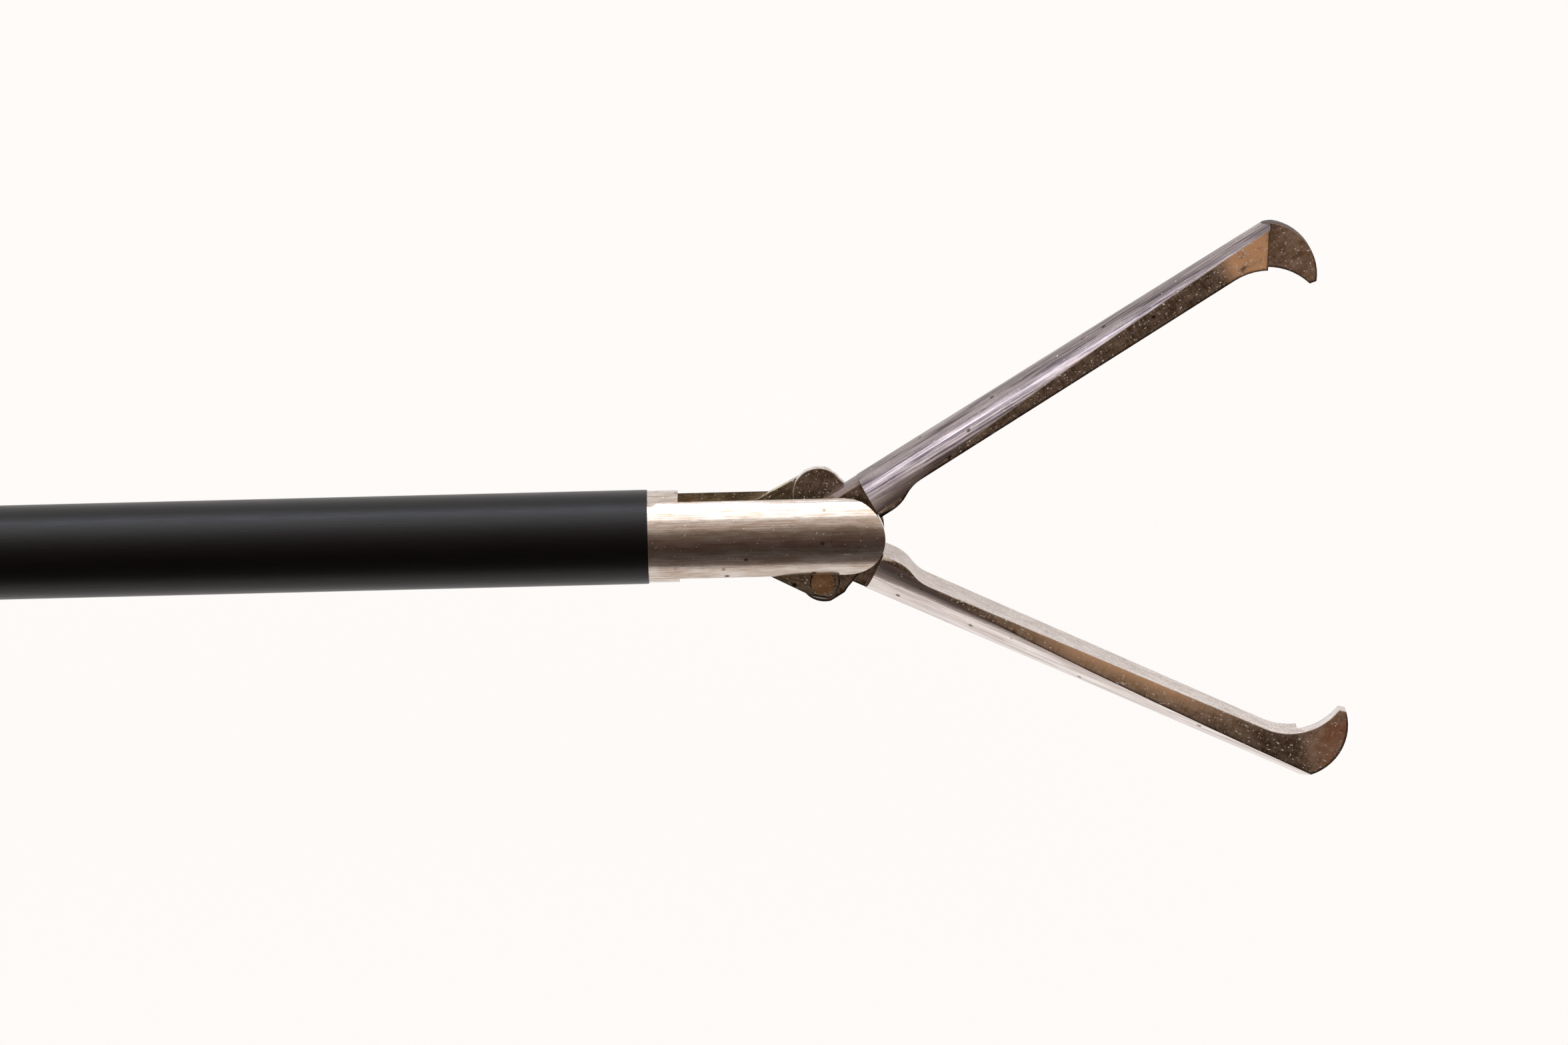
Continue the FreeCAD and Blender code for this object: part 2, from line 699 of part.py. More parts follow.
def make_knob():
    bore = tube_radius + seat_play
    body = new_body("Knob")
    section = body_sketch(body, "XY_Plane", "KnobSection")
    draw(section, [
        (knob_back_x, bore),
        (knob_nose_x, bore),
        (knob_nose_x, knob_nose_radius),
        (knob_nose_x - knob_length * 0.35, knob_radius - knob_shoulder_drop),
        (knob_nose_x - knob_length * 0.5, knob_radius),
        (knob_back_x + knob_edge_radius, knob_radius, knob_edge_radius, 1),
        (knob_back_x, knob_radius - knob_edge_radius),
    ])
    spin = body.newObject("PartDesign::Revolution", "KnobTurn")
    spin.Profile = section
    spin.ReferenceAxis = (section, ["H_Axis"])
    spin.Angle = 360
    doc.recompute()
    full = spin.Shape.Volume
    flute_sketch = body_sketch(body, "YZ_Plane", "KnobFluteOutline")
    flute_sketch.addGeometry(Part.Circle(Vector(knob_flute_reach.value, 0, 0), Vector(0, 0, 1), knob_flute_radius.value))
    row = flute_sketch.addConstraint(Sketcher.Constraint("DistanceX", -1, 1, 0, 3, knob_flute_reach.value))
    bind(flute_sketch, f"Constraints[{row}]", knob_flute_reach)
    flute_sketch.addConstraint(Sketcher.Constraint("PointOnObject", 0, 3, -1))
    row = flute_sketch.addConstraint(Sketcher.Constraint("Radius", 0, knob_flute_radius.value))
    bind(flute_sketch, f"Constraints[{row}]", knob_flute_radius)
    flute = body.newObject("PartDesign::Pocket", "KnobFlute")
    flute.Profile = flute_sketch
    flute.Type = "ThroughAll"
    flute.Midplane = True
    doc.recompute()
    pattern = body.newObject("PartDesign::PolarPattern", "KnobFlutes")
    pattern.Originals = [flute]
    pattern.Axis = (flute_sketch, ["N_Axis"])
    pattern.Angle = 360
    bind(pattern, "Occurrences", knob_flutes)
    body.Tip = pattern
    doc.recompute()
    if body.Shape.Volume >= full:
        raise ValueError("the knob's flutes cut nothing")
    screw_x = knob_back_x + knob_length * 0.3
    screw_hole = cylinder("KnobScrewHole", screw_radius + seat_play, knob_radius, (screw_x, tube_radius, 0), "y")
    keep("rotation_knob", cut("KnobDrilled", body, screw_hole))
    keep("knob_set_screw", cylinder("KnobScrew", screw_radius, set_screw_length, (screw_x, tube_radius, 0), "y"))


def make_collar():
    """The collar turns in the handle and holds the knob, with the tube in front and the seal behind."""
    front = knob_back_x
    back = front - collar_length
    flange_front = front - collar_length / 2
    flange_back = flange_front - collar_flange_width
    tube_end = knob_back_x - collar_length / 2
    bore = tube_radius + seat_play
    keep("swivel_collar", turned("Collar", [
        (back, rod_bore + collar_bore_play),
        (tube_end - seal_width, rod_bore + collar_bore_play),
        (tube_end - seal_width, bore),
        (front, bore),
        (front, collar_radius),
        (flange_front, collar_radius),
        (flange_front, collar_flange_radius),
        (flange_back, collar_flange_radius),
        (flange_back, collar_radius),
        (back, collar_radius),
    ]))
    keep("rod_seal", ring_along_x("Seal", tube_radius, rod_bore, tube_end - seal_width, tube_end))


# Handle

def make_shells():
    """Two shells round the collar and the lever, with the fixed limb and its finger ring."""
    back = handle_x - barrel_length
    collar_back = knob_back_x - collar_length
    flange_front = knob_back_x - collar_length / 2
    play = running_play
    ring_x = lever_x + finger_ring_ahead
    ring_low = -finger_ring_drop - finger_ring_straight / 2
    ring_high = -finger_ring_drop + finger_ring_straight / 2
    limb_x = ring_x - limb_width / 2

    for label, low, high, deep_low, deep_high in (
            ("near_shell", sized(0), handle_half_width, sized(0), barrel_radius),
            ("far_shell", -handle_half_width, sized(0), -barrel_radius, sized(0))):
        name = label.title().replace("_", "")
        barrel = cylinder(name + "Barrel", barrel_radius, barrel_length, (back, 0, 0))
        half = block(name + "Half", (back - 1, -barrel_radius, deep_low), (handle_x + 1, barrel_radius, deep_high))
        limb = plate(name + "Limb", [
            (limb_x, ring_high + finger_ring_radius),
            (limb_x + limb_width, ring_high + finger_ring_radius),
            (limb_x + limb_width, -barrel_radius - limb_shoulder_drop),
            (handle_x - limb_front_inset, -barrel_radius / 2),
            (limb_x - limb_back_flare, -barrel_radius / 2),
        ], low, high)
        ring = plate(name + "Ring",
                     upright_stadium(finger_ring_radius + ring_wall, ring_x, ring_low, ring_high), low, high)
        whole = fuse(name + "Whole", common(name + "HalfBarrel", barrel, half), limb, ring)
        finger = plate(name + "Finger", upright_stadium(finger_ring_radius, ring_x, ring_low, ring_high),
                       -barrel_radius, barrel_radius)
        collar_bore = cylinder(name + "CollarBore", collar_radius + play, collar_length, (collar_back - 0.5, 0, 0))
        flange_bore = cylinder(name + "FlangeBore", collar_flange_radius + play, collar_flange_width + 2 * play,
                               (flange_front - collar_flange_width - play, 0, 0))
        mouth = cylinder(name + "Mouth", collar_radius + play, collar_length, (handle_x - collar_length / 2, 0, 0))
        room = plate(name + "Room", [
            (collar_back + 4 * play, -room_floor),
            (collar_back + 4 * play, room_height),
            (back + room_back_wall, room_height),
            (back + room_back_wall, -room_step),
            (back - 1, -room_height),
            (back - 1, -barrel_radius - room_height),
            (lever_x + lever_hub_radius + room_hub_play, -barrel_radius - room_height),
            (lever_x + lever_hub_radius + room_hub_play, -room_floor),
        ], -lever_half_width - room_play, lever_half_width + room_play)
        pin_hole = cylinder(name + "PinHole", lever_pin_radius + seat_play, lever_pin_length,
                            (lever_x, lever_y, -lever_pin_length / 2), "z")
        rack_room = rack_plate(name + "RackRoom", trigger_play, rack_room_start, rack_room_end)
        trigger_room = plate(name + "TriggerRoom", trigger_outline(1.6 * trigger_play + 0.9),
                             -rack_half_width - trigger_play, rack_half_width + trigger_play, trigger_x, trigger_y)
        trigger_hole = cylinder(name + "TriggerHole", trigger_pin_radius + seat_play,
                                2 * handle_half_width - 2 * screw_blind_wall,
                                (trigger_x, trigger_y, screw_blind_wall - handle_half_width), "z")
        post_hole = cylinder(name + "PostHole", post_radius / 2 + post_root_step + seat_play, barrel_radius,
                             (post_x, rod_radius + 2, 0), "y")
        spring_hole = cylinder(name + "SpringHole", spring_bore, spring_length + 2 * trigger_play,
                               (spring_x, spring_y - trigger_play, 0), "y")
        screws = [screw_hole_tool(name, i, spot) for i, spot in enumerate(screw_spots())]
        keep(label, cut(name, whole, finger, collar_bore, flange_bore, mouth, room, pin_hole, rack_room,
                        trigger_room, trigger_hole, spring_hole, post_hole, *screws))


trigger_x = lever_x + trigger_ahead
trigger_y = lever_y - (rack_radius + trigger_under_rack)
post_x = handle_x - collar_length - post_set_back
spring_bore = spring_radius + spring_wire_radius + running_play
spring_x = trigger_x - spring_set_back
spring_y = trigger_y - spring_top_drop - spring_length


def trigger_outline(grown):
    """The trigger's nose under the rack, its pivot boss and the tab in front of the limb."""
    share = trigger_length / 17
    nose_x = share * -4.7
    nose_y = share * 2.7
    return [
        (nose_x - share - grown, share * -1.2 - grown),
        (share * 3, share * -3.4 - grown),
        (trigger_length + grown, share * -5 - grown),
        (trigger_length + grown, share * -2 + grown),
        (share * 6, share * 1.8 + grown),
        (0, share * 2 + grown),
        (nose_x + share * 1.2 + grown / 2, nose_y - share * 0.6),
        (nose_x, nose_y),
        (nose_x - share - grown, nose_y - share * 0.8),
    ]


def rack_plate(name, grown, start, end):
    """A stretch of the rack's arc about the lever's pivot."""
    inner = rack_radius - rack_half_height - grown
    outer = rack_radius + rack_half_height + grown
    middle = (start + end) / 2
    return plate(name, [
        (inner * cos(end), inner * sin(end), inner, -1),
        (inner * cos(middle), inner * sin(middle), inner, -1),
        (inner * cos(start), inner * sin(start)),
        (outer * cos(start), outer * sin(start), outer, 1),
        (outer * cos(middle), outer * sin(middle), outer, 1),
        (outer * cos(end), outer * sin(end)),
    ], -rack_half_width - grown, rack_half_width + grown, lever_x, lever_y)


def screw_spots():
    """Where the shells' four screws stand."""
    return [
        (post_x - front_screw_set_back, front_screw_rise),
        (handle_x - barrel_length + back_screw_inset, back_screw_rise),
        (trigger_x - limb_screw_set_back, lever_y - (rack_radius - limb_screw_inside_rack)),
        (trigger_x - limb_screw_set_back, trigger_y - limb_screw_under_trigger),
    ]


def screw_hole_tool(name, i, spot):
    return cylinder(f"{name}ScrewHole{i}", screw_radius + seat_play,
                    2 * handle_half_width - screw_blind_wall, (*spot, screw_blind_wall - handle_half_width), "z")


def make_handle_metal():
    """Screws, pivot pins and the post of the current lead."""
    screws = []
    for i, spot in enumerate(screw_spots()):
        low = screw_blind_wall + screw_end_play - handle_half_width
        screws.append(cylinder(f"ShellScrew{i}", screw_radius, handle_half_width - 2 * screw_end_play - low,
                               (*spot, low), "z"))
    group = doc.addObject("Part::Compound", "ShellScrews")
    group.Links = screws
    keep("shell_screws", group)
    keep("lever_pivot_pin", cylinder("LeverPin", lever_pin_radius, lever_pin_length - 4 * running_play,
                                     (lever_x, lever_y, 2 * running_play - lever_pin_length / 2), "z"))
    keep("trigger_pin", cylinder("TriggerPin", trigger_pin_radius,
                                 2 * (handle_half_width - screw_blind_wall - 2 * running_play),
                                 (trigger_x, trigger_y, screw_blind_wall + 2 * running_play - handle_half_width), "z"))
    root_part = cylinder("PostRoot", post_radius / 2 + post_root_step, barrel_radius - rod_radius - running_play,
                         (post_x, rod_radius + running_play, 0), "y")
    stem = cylinder("PostStem", post_radius, post_length, (post_x, barrel_radius, 0), "y")
    keep("current_post", fuse("Post", root_part, stem))


def make_lever():
    """The thumb lever: a fork round the ball, the hub, the limb and the thumb ring."""
    lean = -lever_lean
    at = {"x": lever_x, "y": lever_y, "turn": lean}
    hub = cylinder("LeverHub", lever_hub_radius, 2 * lever_half_width, (lever_x, lever_y, -lever_half_width), "z")
    fork_half = ball_radius + running_play + fork_wall
    fork_top = lever_arm + ball_radius + fork_top_wall
    fork = block("LeverFork", (-fork_half, 0, -lever_half_width), (fork_half, fork_top, lever_half_width),
                 -half_swing, (lever_x, lever_y))
    neck = plate("LeverNeck", [
        (-lever_limb_width / 2, -lever_neck_length),
        (lever_limb_width / 2, -lever_neck_length),
        (lever_limb_width / 2, -1),
        (-lever_limb_width / 2, -1),
    ], -lever_half_width, lever_half_width, **at)
    limb = plate("LeverLimb", [
        (-lever_limb_width / 2, -lever_length),
        (lever_limb_width / 2, -lever_length),
        (lever_limb_width / 2, -lever_neck_length),
        (-lever_limb_width / 2, -lever_neck_length),
    ], -handle_half_width, handle_half_width, **at)
    ring_x = lever_x - lever_length * sin(lever_lean)
    ring_y = lever_y - lever_length * cos(lever_lean)
    ring = cylinder("LeverRing", thumb_ring_radius + ring_wall, 2 * handle_half_width,
                    (ring_x, ring_y, -handle_half_width), "z")
    thumb = cylinder("LeverThumb", thumb_ring_radius, 2 * handle_half_width + 2,
                     (ring_x, ring_y, -handle_half_width - 1), "z")
    slot_half_width = ball_radius + running_play
    slot = block("LeverSlot", (-slot_half_width, lever_arm - ball_radius - fork_floor_play, -lever_half_width - 1),
                 (slot_half_width, fork_top + 1, lever_half_width + 1), -half_swing, (lever_x, lever_y))
    rod_way = block("LeverRodWay", (0, lever_arm - rod_radius - 3 * rod_way_play, -rod_radius - rod_way_play),
                    (fork_half + 1, fork_top + 1, rod_radius + rod_way_play), -half_swing, (lever_x, lever_y))
    pin_hole = cylinder("LeverPinHole", lever_pin_radius + running_play, 2 * lever_half_width + 2,
                        (lever_x, lever_y, -lever_half_width - 1), "z")
    rack_slot = rack_plate("LeverRackSlot", seat_play, rack_root_start, rack_root_end)
    whole = fuse("LeverWhole", hub, fork, neck, limb, ring)
    keep("thumb_lever", cut("Lever", whole, thumb, slot, rod_way, pin_hole, rack_slot))

    bar = rack_plate("RackBar", sized(0), rack_root_start + rack_root_play, rack_end_angle)
    teeth = []
    outer = rack_radius + rack_half_height
    for i in range(rack_teeth):
        start = rack_end_angle - rack_tip_angle - tooth_pitch_angle * i
        end = start + tooth_pitch_angle * 0.9
        teeth.append(plate(f"RackTooth{i}", [
            (outer * cos(start) * 1.02, outer * sin(start) * 1.02),
            (outer * cos(end) * 1.02, outer * sin(end) * 1.02),
            ((outer - tooth_depth) * cos(end), (outer - tooth_depth) * sin(end)),
        ], -rack_half_width - 1, rack_half_width + 1, lever_x, lever_y))
    keep("ratchet_bar", cut("Rack", bar, *teeth))


def make_trigger():
    """The trigger that lets the ratchet go. Its nose stands just clear of the teeth."""
    form = plate("TriggerForm", trigger_outline(0), -rack_half_width, rack_half_width, trigger_x, trigger_y)
    hole = cylinder("TriggerPinHole", trigger_pin_radius + running_play, 2 * rack_half_width + 2,
                    (trigger_x, trigger_y, -rack_half_width - 1), "z")
    keep("release_trigger", cut("Trigger", form, hole))


def make_spring():
    """The coil that lifts the trigger's nose, at its pressed length."""
    coil = doc.addObject("Part::Helix", "SpringLine")
    bind(coil, "Radius", spring_radius)
    bind(coil, "Pitch", spring_pitch)
    bind(coil, "Height", spring_length - 2 * spring_wire_radius)
    wire = doc.addObject("Part::Circle", "SpringWire")
    bind(wire, "Radius", spring_wire_radius)
    wire.Placement = Placement(Vector(), Rotation(Vector(1, 0, 0), 90))
    put(wire, spring_radius, 0, 0)
    thing = doc.addObject("Part::Sweep", "Spring")
    thing.Sections = [wire]
    thing.Spine = (coil, ["Edge1"])
    thing.Solid = True
    thing.Frenet = True
    thing.Placement = Placement(Vector(), axis_turns["y"])
    put(thing, spring_x, spring_y + spring_wire_radius, 0)
    keep("trigger_spring", thing)


make_shaft()
make_yoke()
make_jaws()
make_links()
make_rod()
make_knob()
make_collar()
make_shells()
make_handle_metal()
make_lever()
make_trigger()
make_spring()
doc.recompute()

# Check and write
for thing in doc.Objects:
    if "Invalid" in thing.State or "Error" in thing.State:
        raise ValueError(f"{thing.Label} did not build: {thing.State}")
os.makedirs("parts", exist_ok=True)
for piece in pieces:
    shape = piece.Shape
    if shape.isNull() or not shape.isValid() or shape.Volume <= 0:
        raise ValueError(f"{piece.Label} is not a sound solid")
for piece in pieces:
    piece.Shape.exportStep(f"parts/{piece.Label}.step")
    print(f"{piece.Label}: {piece.Shape.Volume:.2f} mm3, {len(piece.Shape.Solids)} solid")
print(f"rod stroke {rod_stroke.value:.4f}, links {link_angle_open.value:.3f} to {link_angle_closed.value:.3f}")
print(f"rod pin x {rod_pin_x.value:.4f}, lever at {lever_x.value:.4f}, {lever_y.value:.4f}")
print(f"trigger at {trigger_x.value:.4f}, {trigger_y.value:.4f}, post x {post_x.value:.3f}")
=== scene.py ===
# %% [markdown]
# # A laparoscopic claw grasper
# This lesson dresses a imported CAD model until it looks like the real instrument. The real one is a black
# insulated tube, 5 mm thick, with a slotted steel yoke at its end and two steel jaws that end in claws. We
# leave those meshes alone, and where an edge or a surface needs more care than a plain solid has, we model
# on a copy and let it stand for the solid.

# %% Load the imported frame
import math

import bpy
from mathutils import Matrix, Vector


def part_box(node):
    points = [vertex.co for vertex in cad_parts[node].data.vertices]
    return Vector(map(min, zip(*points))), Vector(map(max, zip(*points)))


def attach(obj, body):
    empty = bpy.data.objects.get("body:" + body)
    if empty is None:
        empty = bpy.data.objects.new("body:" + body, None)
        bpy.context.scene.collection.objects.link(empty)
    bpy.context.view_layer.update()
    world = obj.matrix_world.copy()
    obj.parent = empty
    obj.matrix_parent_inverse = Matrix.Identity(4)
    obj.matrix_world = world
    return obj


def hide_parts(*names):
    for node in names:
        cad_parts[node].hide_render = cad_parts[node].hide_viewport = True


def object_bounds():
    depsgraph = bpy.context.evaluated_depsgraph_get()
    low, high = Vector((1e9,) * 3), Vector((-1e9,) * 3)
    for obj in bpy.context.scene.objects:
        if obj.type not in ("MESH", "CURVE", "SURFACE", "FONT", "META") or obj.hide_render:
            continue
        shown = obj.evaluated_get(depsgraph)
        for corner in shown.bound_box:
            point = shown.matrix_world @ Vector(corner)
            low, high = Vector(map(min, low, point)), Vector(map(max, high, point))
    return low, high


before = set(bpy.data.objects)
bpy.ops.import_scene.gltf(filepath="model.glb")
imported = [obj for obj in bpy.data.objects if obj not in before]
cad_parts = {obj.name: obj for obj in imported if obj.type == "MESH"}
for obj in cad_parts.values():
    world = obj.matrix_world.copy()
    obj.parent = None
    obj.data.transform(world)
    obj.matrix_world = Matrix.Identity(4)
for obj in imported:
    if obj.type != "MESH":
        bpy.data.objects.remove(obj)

MM = 0.001
cad_low, cad_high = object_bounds()
print("CAD box in mm:", [round(c / MM, 1) for c in cad_low], [round(c / MM, 1) for c in cad_high])

# %% [markdown]
# ## The camera
# The photograph was taken almost straight down on an instrument that lies on its side. From the shapes of the
# round ends we can tell that the lens leans 10 degrees towards the instrument's upper side, and that the
# picture is rolled by 1.4 degrees. How much the near claw outgrows the far one says that the lens was about
# 420 mm away. We work out its place from those few numbers, rather than move it by eye.

# %% Place the camera
lean = math.radians(10)
roll = math.radians(1.4)
distance = 423 * MM
field_width = 83.15 * MM
aim_along, aim_up = 7.214 * MM, 0.58 * MM
back = Vector((0, math.sin(lean), math.cos(lean)))
level_up = Vector((0, math.cos(lean), -math.sin(lean)))
along = Vector((1, 0, 0))
aim = aim_along * along + aim_up * level_up
up = math.sin(roll) * along + math.cos(roll) * level_up
right = math.cos(roll) * along - math.sin(roll) * level_up
camera_data = bpy.data.cameras.new("camera")
camera = bpy.data.objects.new("camera", camera_data)
bpy.context.scene.collection.objects.link(camera)
camera_data.sensor_width = 36
camera_data.lens = camera_data.sensor_width * distance / field_width
camera_data.clip_start = 5 * MM
camera.matrix_world = Matrix((
    (right.x, up.x, back.x, aim.x + back.x * distance),
    (right.y, up.y, back.y, aim.y + back.y * distance),
    (right.z, up.z, back.z, aim.z + back.z * distance),
    (0, 0, 0, 1),
))
bpy.context.scene.camera = camera
bpy.context.scene.view_settings.view_transform = "Standard"
print("lens", round(camera_data.lens, 1), "mm")

# %% [markdown]
# ## Colours and nodes
# Colours are written as the hex codes that one reads off a screen. The sockets want linear light, so one
# function turns them. Another adds a node with its settings and inputs in one line, which keeps each material
# short enough to read. An input is a number, a hex code, another node's output, or a whole node, which then
# stands for the first of its outputs that is in use. A Mix node has its two colours in sockets 6 and 7.

# %% Colours and nodes
def linear(code):
    channels = [int(code[i:i + 2], 16) / 255 for i in (1, 3, 5)]
    return (*[c / 12.92 if c <= 0.04045 else ((c + 0.055) / 1.055) ** 2.4 for c in channels], 1.0)


def add(tree, kind, inputs=None, **settings):
    """Adds a node: the settings are its properties, and the inputs fill or feed its sockets."""
    node = tree.nodes.new(kind)
    for name, value in settings.items():
        setattr(node, name, value)
    for socket, value in (inputs or {}).items():
        if isinstance(value, bpy.types.Node):
            value = next(output for output in value.outputs if output.enabled)
        if isinstance(value, bpy.types.NodeSocket):
            tree.links.new(value, node.inputs[socket])
        else:
            node.inputs[socket].default_value = linear(value) if isinstance(value, str) else value
    return node


def new_material(name):
    material = bpy.data.materials.new(name)
    material.use_nodes = True
    material.node_tree.nodes.clear()
    return material, material.node_tree


print("middle grey on screen is", round(linear("#808080")[0], 3), "in linear light")

# %% [markdown]
# ## Marks in real millimetres
# Strokes, stain, haze and grit are one thing to the shader: noise, stretched until its blotches have the size
# of the real marks. So one function draws them all, from their size along each axis. The other finds where on
# a piece we are, and can turn with the piece, because the strokes of an open jaw run along its own metal.

# %% Marks in real millimetres
def place_on(tree, turn=0.0, centre=(0, 0, 0)):
    """Object coordinates as seen from a centre in mm, on axes turned about Z."""
    there = add(tree, "ShaderNodeTexCoord")
    shift = Matrix.Rotation(-turn, 3, "Z") @ Vector(centre) * -MM
    return add(tree, "ShaderNodeMapping", {
        "Vector": there.outputs["Object"], "Location": shift, "Rotation": (0, 0, -turn)})


def per_metre(size):
    """How many marks of a size in mm fit in a metre, along each axis."""
    return [1 / (length * MM) for length in size]


def marks(tree, place, size, detail=4.0, roughness=0.6):
    """Cloudy marks of a size in mm along each axis. Long thin ones are strokes, and even ones are stain."""
    cells = add(tree, "ShaderNodeMapping", {"Vector": place, "Scale": per_metre(size)})
    return add(tree, "ShaderNodeTexNoise", {
        "Vector": cells, "Scale": 1.0, "Detail": detail, "Roughness": roughness})


print("marks 0.1 mm wide have a scale of", round(per_metre((0.1,))[0]))

# %% [markdown]
# ## The sleeve's finish
# The sleeve is heat-shrink tube of black polyolefin, extruded, so that its grain runs along the shaft. It is
# satin: dark as coal, with one soft bluish band where it mirrors the window. Handling leaves a faint brown
# haze. The real grain is finer than a pixel, so it is drawn 0.07 mm wide.

# %% Heat-shrink polyolefin
def heat_shrink():
    material, tree = new_material("extruded_black_polyolefin")
    place = place_on(tree)
    grain = marks(tree, place, (1.6, 0.07, 0.07), 5.0)
    haze = marks(tree, place, (3.0, 0.8, 0.8), 3.0)
    colour = add(tree, "ShaderNodeMix", {0: haze, 6: "#060607", 7: "#0e0b0a"}, data_type="RGBA")
    rough = add(tree, "ShaderNodeMapRange", {
        "Value": grain, "From Min": 0.3, "From Max": 0.7, "To Min": 0.30, "To Max": 0.42})
    bump = add(tree, "ShaderNodeBump", {"Height": grain, "Strength": 0.5, "Distance": 0.01 * MM})
    shader = add(tree, "ShaderNodeBsdfPrincipled", {
        "Base Color": colour, "Roughness": rough, "Normal": bump, "IOR": 1.35})
    add(tree, "ShaderNodeOutputMaterial", {"Surface": shader})
    return material


polyolefin = heat_shrink()
print(polyolefin.name)

# %% [markdown]
# ## Pits and edges of the steel
# Two masks aren't strokes. Pits are round holes in loose groups, so a Voronoi texture puts one in each cell
# and a coarse noise takes most of them away again. Edges, which get painted highlight and painted shade, are
# found with a Bevel node: it gives the direction that a rounded edge would face, and that direction's product
# with a given one tells edges from the flat.

# %% Pits and edges
def pitted(tree, place, size):
    """1 in the middle of each pit of a size in mm, and 0 between them."""
    room_for_one = per_metre((2.4 * size, 2 * size, 2 * size))
    cells = add(tree, "ShaderNodeMapping", {"Vector": place, "Scale": room_for_one})
    holes = add(tree, "ShaderNodeTexVoronoi", {"Vector": cells, "Scale": 1.0})
    holes = add(tree, "ShaderNodeMapRange", {
        "Value": holes, "From Min": 0.14, "From Max": 0.07, "To Max": 0.9})
    groups = add(tree, "ShaderNodeMapRange", {
        "Value": marks(tree, place, (3.0, 2.0, 2.0)), "From Min": 0.44, "From Max": 0.5})
    return add(tree, "ShaderNodeMath", {0: holes, 1: groups}, operation="MULTIPLY")


def at_edges(tree, direction, reach, share=1.0):
    """The share on the edges that face a direction, within a reach in mm of them, and 0 on the flat."""
    rounded = add(tree, "ShaderNodeBevel", {"Radius": reach * MM}, samples=6)
    facing = add(tree, "ShaderNodeVectorMath", {0: rounded, 1: direction}, operation="DOT_PRODUCT")
    return add(tree, "ShaderNodeMapRange", {
        "Value": facing, "From Min": 0.04, "From Max": 0.14, "To Max": share})


print("pits and edges ready")

# %% [markdown]
# ## Steel in its finishes
# All the metal is stainless steel, but how a face was cut decides how it looks. The yoke was turned and
# polished: long faint scratches, small pits, a tea-coloured stain. The jaws' and links' flat sides were
# ground across, which leaves short strokes and a warm brown cast. The gripping faces were blasted with grit,
# which makes them pale and dull. One function makes them all, and the numbers tell the finishes apart. The
# real strokes are finer than a pixel, so they are drawn about 0.1 mm wide.

# %% Stainless steel
def stainless(name, pale, dark, roughness, stroke, stroke_height, fleck_share=0.1, pit_size=0.5,
              pit_colour="#3a2a22", turn=0.0, centre=(0, 0, 0), tints=None, edge=0.0, painted_highlight_reach=0.0):
    """Steel with strokes of a size in mm, flecks, pits and, where asked, tints and painted light and shade on
    edges.
    """
    material, tree = new_material(name)
    place = place_on(tree, turn, centre)
    strokes = marks(tree, place, stroke, 5.0, 0.65)
    clouds = marks(tree, place, (max(0.9, 0.6 * stroke[0]), 0.4, 0.4), 6.0, 0.7)
    both = add(tree, "ShaderNodeMath", {0: strokes, 1: clouds}, operation="ADD")
    stain = add(tree, "ShaderNodeMapRange", {"Value": both, "From Min": 0.84, "From Max": 1.16})
    colour = add(tree, "ShaderNodeMix", {0: stain, 6: pale, 7: dark}, data_type="RGBA")
    pits = pitted(tree, place, pit_size)
    colour = add(tree, "ShaderNodeMix", {0: pits, 6: colour, 7: pit_colour}, data_type="RGBA")
    # Grit leaves flecks about 0.1 mm long, brighter than the ground and duller than the clean metal.
    fleck = add(tree, "ShaderNodeMapRange", {
        "Value": marks(tree, place, (0.16, 0.10, 0.10), 2.0),
        "From Min": 0.76 - fleck_share, "From Max": 0.80 - fleck_share})
    dull = fleck
    if tints:
        tinted, tint = tints(tree, place)
        colour = add(tree, "ShaderNodeMix", {0: tinted, 6: colour, 7: tint}, data_type="RGBA")
        tinted = add(tree, "ShaderNodeMath", {0: tinted, 1: 0.9}, operation="MULTIPLY")
        dull = add(tree, "ShaderNodeMath", {0: fleck, 1: tinted}, operation="MAXIMUM")
    colour = add(tree, "ShaderNodeMix", {0: fleck, 6: colour, 7: "#fff4ea"}, data_type="RGBA")
    if painted_highlight_reach:
        # A painted highlight: the edges that face up, towards the window, are made pale and dull.
        painted_edge_highlight = at_edges(tree, (-0.35, 0.93, 0), painted_highlight_reach, 0.7)
        colour = add(tree, "ShaderNodeMix", {0: painted_edge_highlight, 6: colour, 7: "#ffecd8"}, data_type="RGBA")
        dull = add(tree, "ShaderNodeMath", {0: dull, 1: painted_edge_highlight}, operation="MAXIMUM")
    if edge:
        # Painted shade: a near-black line along the edges that face down and right.
        painted_edge_shade = at_edges(tree, (0.5, -0.85, 0), edge)
        colour = add(tree, "ShaderNodeMix", {0: painted_edge_shade, 6: colour, 7: "#140c08"}, data_type="RGBA")
    mirror = add(tree, "ShaderNodeMapRange", {"Value": dull, "To Min": 1.0, "To Max": 0.1})
    rough = add(tree, "ShaderNodeMapRange", {
        "Value": strokes, "From Min": 0.3, "From Max": 0.7, "To Min": roughness[0], "To Max": roughness[1]})
    # Handling leaves shallow dents a quarter of a millimetre across, which fray each mirrored band.
    dents = marks(tree, place, (0.35, 0.22, 0.22), 3.0)
    relief = add(tree, "ShaderNodeMath", {0: both, 1: dents}, operation="ADD")
    bump = add(tree, "ShaderNodeBump", {"Height": relief, "Strength": 1.0, "Distance": stroke_height * MM})
    shader = add(tree, "ShaderNodeBsdfPrincipled", {
        "Base Color": colour, "Metallic": mirror, "Roughness": rough, "Normal": bump})
    add(tree, "ShaderNodeOutputMaterial", {"Surface": shader})
    return material


